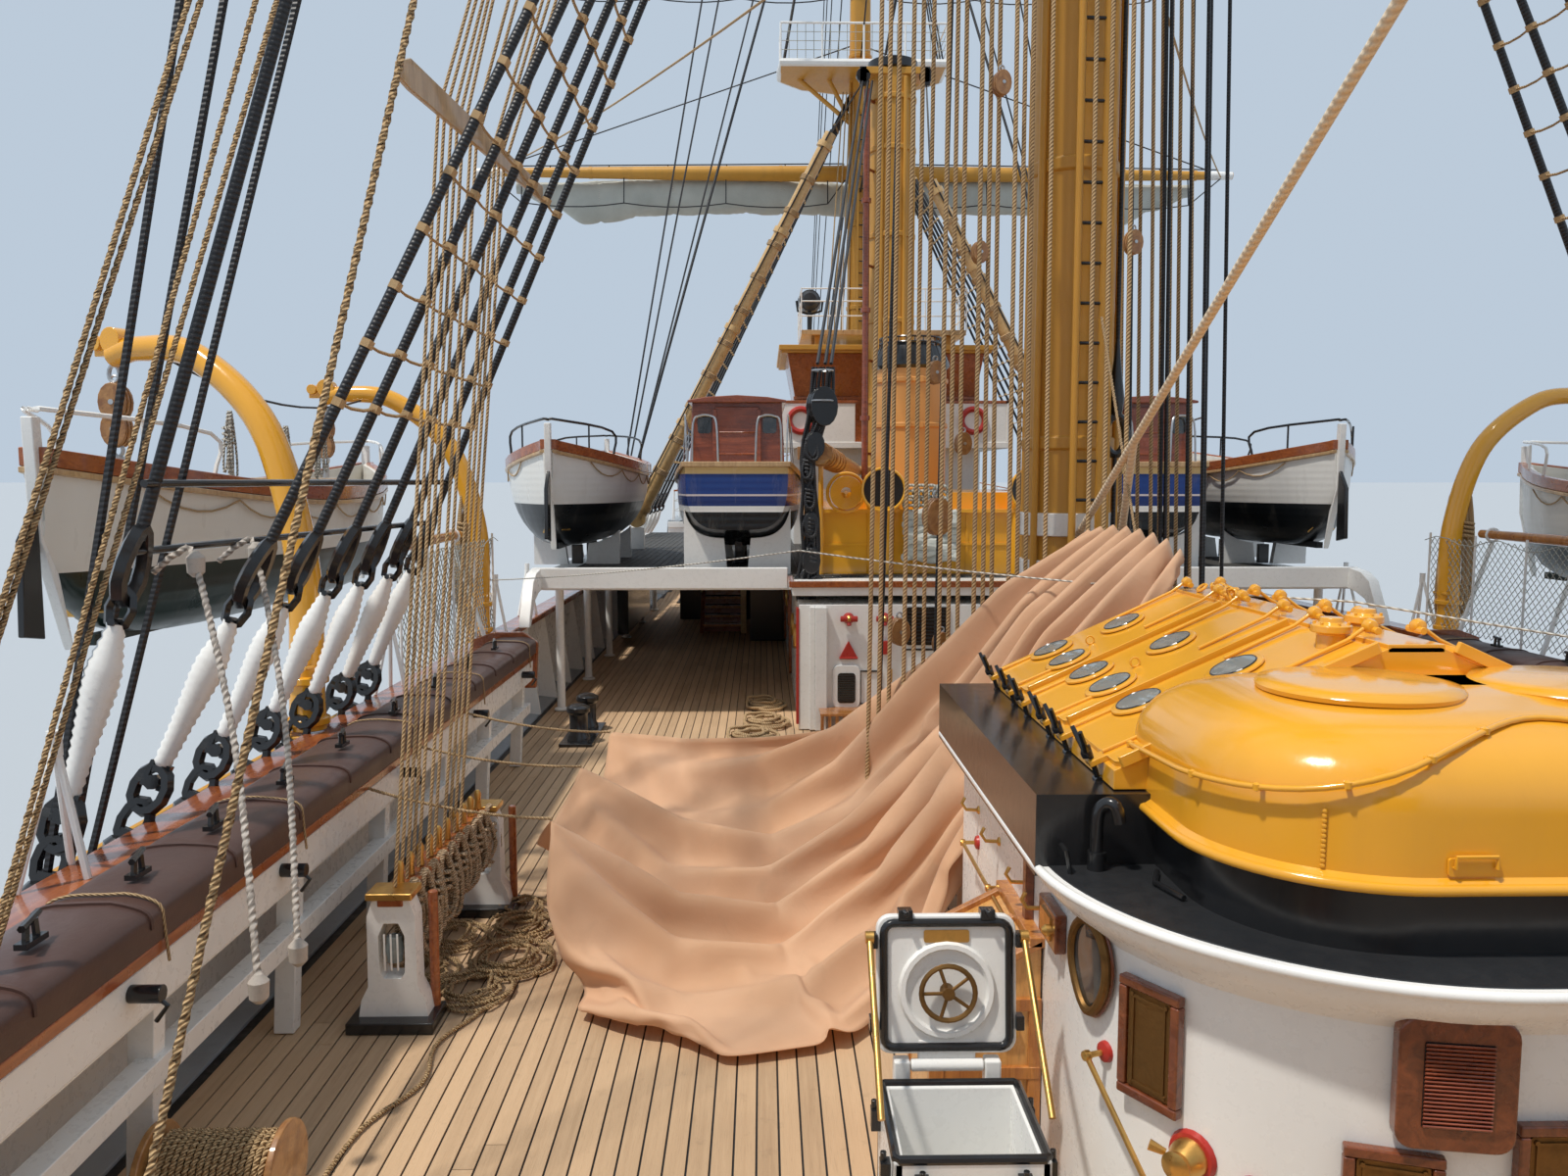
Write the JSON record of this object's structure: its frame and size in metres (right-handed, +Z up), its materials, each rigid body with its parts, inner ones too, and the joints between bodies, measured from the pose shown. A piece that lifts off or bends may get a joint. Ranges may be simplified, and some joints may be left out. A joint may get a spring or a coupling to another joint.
{
  "type": "1:10 scale model of a three-masted full-rigged training ship",
  "caption": "Square-rigged sailing ship afloat, with braced yards, furled sails, boats on davits, deckhouses, a bridge, rudder and propeller",
  "frame": {"origin": "amidships on the waterline, on the centreline: the mount called water", "axes": "+X to the bow, +Y to port, +Z up"},
  "size_m": [10.1144, 2.52, 6.11],
  "materials": {
    "hull_paint": "gloss paint over riveted steel plating",
    "white_paint": "gloss white paint",
    "ochre_paint": "semi-gloss ochre paint on masts and yards",
    "yellow_paint": "gloss yellow enamel",
    "navy_paint": "gloss navy paint with white stripe",
    "sailcloth": "furled grey-white canvas",
    "awning_cloth": "peach awning canvas",
    "brown_cloth": "dark brown coated canvas",
    "bronze": "polished bronze",
    "tarred_wire": "black served wire rope",
    "hemp": "three-strand hemp rope",
    "varnished_wood": "varnished mahogany and teak",
    "teak_deck": "scrubbed teak planks with black seams",
    "black_paint": "gloss black paint",
    "antifouling": "matt red underwater paint",
    "white_cord": "white cord wrapping and rope",
    "glass": "dark window and port glass",
    "red_paint": "red paint on fire fittings",
    "brass": "polished brass",
    "grey_steel": "bare and grey-painted steel fittings"
  },
  "bodies": {
    "ship": {"hull": "hull_paint", "poop": "white_paint", "forecastle": "white_paint", "bulwark_port": "white_paint", "bulwark_starboard": "white_paint", "rail_cover_port": "brown_cloth", "rail_cover_starboard": "brown_cloth", "bowsprit": "ochre_paint", "fore_mast": "ochre_paint", "main_mast": "ochre_paint", "mizzen_mast": "ochre_paint", "spanker_sail": "sailcloth", "fore_stay": "tarred_wire", "main_stay": "tarred_wire", "mizzen_stay": "hemp", "deckhouse": "white_paint", "skylight": "yellow_paint", "hatch_coaming": "white_paint", "boat_deck": "white_paint", "centre_house": "white_paint", "engine_casing": "yellow_paint", "funnel": "ochre_paint", "bridge": "white_paint", "derrick_post": "ochre_paint", "deck_boat_port": "white_paint", "deck_boat_starboard": "white_paint", "launch_port": "navy_paint", "launch_starboard": "navy_paint", "awning": "awning_cloth"},
    "fore_course_yard": {"fore_course_yard": "ochre_paint", "fore_course_sail": "sailcloth"},
    "fore_lower_topsail_yard": {"fore_lower_topsail_yard": "ochre_paint"},
    "fore_upper_topsail_yard": {"fore_upper_topsail_yard": "ochre_paint"},
    "fore_topgallant_yard": {"fore_topgallant_yard": "ochre_paint"},
    "fore_royal_yard": {"fore_royal_yard": "ochre_paint"},
    "main_course_yard": {"main_course_yard": "ochre_paint", "main_course_sail": "sailcloth"},
    "main_lower_topsail_yard": {"main_lower_topsail_yard": "ochre_paint"},
    "main_upper_topsail_yard": {"main_upper_topsail_yard": "ochre_paint"},
    "main_topgallant_yard": {"main_topgallant_yard": "ochre_paint"},
    "main_royal_yard": {"main_royal_yard": "ochre_paint"},
    "mizzen_crossjack_yard": {"mizzen_crossjack_yard": "ochre_paint"},
    "mizzen_lower_topsail_yard": {"mizzen_lower_topsail_yard": "ochre_paint"},
    "mizzen_upper_topsail_yard": {"mizzen_upper_topsail_yard": "ochre_paint"},
    "mizzen_topgallant_yard": {"mizzen_topgallant_yard": "ochre_paint"},
    "mizzen_royal_yard": {"mizzen_royal_yard": "ochre_paint"},
    "spanker_boom": {"spanker_boom": "ochre_paint"},
    "spanker_gaff": {"spanker_gaff": "ochre_paint"},
    "rudder": {"rudder": "hull_paint"},
    "propeller": {"propeller": "bronze"},
    "hatch_lid": {"hatch_lid": "white_paint"},
    "derrick_port": {"derrick_port": "ochre_paint"},
    "derrick_starboard": {"derrick_starboard": "ochre_paint"},
    "davit_port_aft": {"davit_port_aft": "yellow_paint"},
    "davit_port_fore": {"davit_port_fore": "yellow_paint"},
    "davit_boat_port": {"davit_boat_port": "white_paint"},
    "davit_starboard_aft": {"davit_starboard_aft": "yellow_paint"},
    "davit_starboard_fore": {"davit_starboard_fore": "yellow_paint"},
    "davit_boat_starboard": {"davit_boat_starboard": "white_paint"}
  },
  "joints": [
    {"name": "fore_course_brace", "type": "hinge", "parent": "ship", "child": "fore_course_yard", "pos_m": [1.985, 0, 1.79], "axis": [0, 0, 1], "range_deg": [-28, 28]},
    {"name": "fore_lower_topsail_brace", "type": "hinge", "parent": "ship", "child": "fore_lower_topsail_yard", "pos_m": [1.985, 0, 2.4], "axis": [0, 0, 1], "range_deg": [-28, 28]},
    {"name": "fore_upper_topsail_brace", "type": "hinge", "parent": "ship", "child": "fore_upper_topsail_yard", "pos_m": [1.985, 0, 2.78], "axis": [0, 0, 1], "range_deg": [-28, 28]},
    {"name": "fore_topgallant_brace", "type": "hinge", "parent": "ship", "child": "fore_topgallant_yard", "pos_m": [1.985, 0, 3.46], "axis": [0, 0, 1], "range_deg": [-28, 28]},
    {"name": "fore_royal_brace", "type": "hinge", "parent": "ship", "child": "fore_royal_yard", "pos_m": [1.985, 0, 4.04], "axis": [0, 0, 1], "range_deg": [-28, 28]},
    {"name": "main_course_brace", "type": "hinge", "parent": "ship", "child": "main_course_yard", "pos_m": [-0.485, 0, 1.95], "axis": [0, 0, 1], "range_deg": [-28, 28]},
    {"name": "main_lower_topsail_brace", "type": "hinge", "parent": "ship", "child": "main_lower_topsail_yard", "pos_m": [-0.485, 0, 2.6], "axis": [0, 0, 1], "range_deg": [-28, 28]},
    {"name": "main_upper_topsail_brace", "type": "hinge", "parent": "ship", "child": "main_upper_topsail_yard", "pos_m": [-0.485, 0, 3], "axis": [0, 0, 1], "range_deg": [-28, 28]},
    {"name": "main_topgallant_brace", "type": "hinge", "parent": "ship", "child": "main_topgallant_yard", "pos_m": [-0.485, 0, 3.76], "axis": [0, 0, 1], "range_deg": [-28, 28]},
    {"name": "main_royal_brace", "type": "hinge", "parent": "ship", "child": "main_royal_yard", "pos_m": [-0.485, 0, 4.38], "axis": [0, 0, 1], "range_deg": [-28, 28]},
    {"name": "mizzen_crossjack_brace", "type": "hinge", "parent": "ship", "child": "mizzen_crossjack_yard", "pos_m": [-2.435, 0, 1.64], "axis": [0, 0, 1], "range_deg": [-28, 28]},
    {"name": "mizzen_lower_topsail_brace", "type": "hinge", "parent": "ship", "child": "mizzen_lower_topsail_yard", "pos_m": [-2.435, 0, 2.16], "axis": [0, 0, 1], "range_deg": [-28, 28]},
    {"name": "mizzen_upper_topsail_brace", "type": "hinge", "parent": "ship", "child": "mizzen_upper_topsail_yard", "pos_m": [-2.435, 0, 2.49], "axis": [0, 0, 1], "range_deg": [-28, 28]},
    {"name": "mizzen_topgallant_brace", "type": "hinge", "parent": "ship", "child": "mizzen_topgallant_yard", "pos_m": [-2.435, 0, 3.04], "axis": [0, 0, 1], "range_deg": [-28, 28]},
    {"name": "mizzen_royal_brace", "type": "hinge", "parent": "ship", "child": "mizzen_royal_yard", "pos_m": [-2.435, 0, 3.52], "axis": [0, 0, 1], "range_deg": [-28, 28]},
    {"name": "spanker_boom_swing", "type": "hinge", "parent": "ship", "child": "spanker_boom", "pos_m": [-2.6009, 0, 0.96], "axis": [0, 0, 1], "range_deg": [-30, 30]},
    {"name": "spanker_gaff_swing", "type": "hinge", "parent": "ship", "child": "spanker_gaff", "pos_m": [-2.59744, 0, 1.6], "axis": [0, 0, 1], "range_deg": [-25, 25]},
    {"name": "rudder_turn", "type": "hinge", "parent": "ship", "child": "rudder", "pos_m": [-3.34, 0, -0.37], "axis": [0, 0, 1], "range_deg": [-35, 35]},
    {"name": "propeller_spin", "type": "hinge", "parent": "ship", "child": "propeller", "pos_m": [-3.152, 0, -0.49], "axis": [1, 0, 0], "continuous": true},
    {"name": "hatch_lid_hinge", "type": "hinge", "parent": "ship", "child": "hatch_lid", "pos_m": [-1.185, 0.206, 0.558], "axis": [0, 1, 0], "range_deg": [-96, 0]},
    {"name": "derrick_port_luff", "type": "hinge", "parent": "ship", "child": "derrick_port", "pos_m": [0.875, 0.575, 0.755], "axis": [1, 0, 0], "range_deg": [-75, 5]},
    {"name": "derrick_starboard_luff", "type": "hinge", "parent": "ship", "child": "derrick_starboard", "pos_m": [0.875, -0.46, 0.755], "axis": [1, 0, 0], "range_deg": [-5, 75]},
    {"name": "davit_port_aft_swing", "type": "hinge", "parent": "ship", "child": "davit_port_aft", "pos_m": [-0.697, 0.7, 0.602], "axis": [0, 0, 1], "range_deg": [-20, 20]},
    {"name": "davit_port_fore_swing", "type": "hinge", "parent": "ship", "child": "davit_port_fore", "pos_m": [-0.07, 0.7, 0.602], "axis": [0, 0, 1], "range_deg": [-20, 20]},
    {"name": "davit_boat_port_swivel", "type": "hinge", "parent": "davit_port_aft", "child": "davit_boat_port", "pos_m": [-0.62174, 0.89605, 0.94], "axis": [0, 0, 1], "range_deg": [-20, 20]},
    {"name": "davit_starboard_aft_swing", "type": "hinge", "parent": "ship", "child": "davit_starboard_aft", "pos_m": [-0.697, -0.7, 0.602], "axis": [0, 0, 1], "range_deg": [-20, 20]},
    {"name": "davit_starboard_fore_swing", "type": "hinge", "parent": "ship", "child": "davit_starboard_fore", "pos_m": [-0.07, -0.7, 0.602], "axis": [0, 0, 1], "range_deg": [-20, 20]},
    {"name": "davit_boat_starboard_swivel", "type": "hinge", "parent": "davit_starboard_aft", "child": "davit_boat_starboard", "pos_m": [-0.62174, -0.89605, 0.94], "axis": [0, 0, 1], "range_deg": [-20, 20]}
  ],
  "couplings": [
    {"joint": "davit_port_fore_swing", "follows": "davit_port_aft_swing", "ratio": 1},
    {"joint": "davit_boat_port_swivel", "follows": "davit_port_aft_swing", "ratio": -1},
    {"joint": "davit_starboard_fore_swing", "follows": "davit_starboard_aft_swing", "ratio": 1},
    {"joint": "davit_boat_starboard_swivel", "follows": "davit_starboard_aft_swing", "ratio": -1}
  ]
}
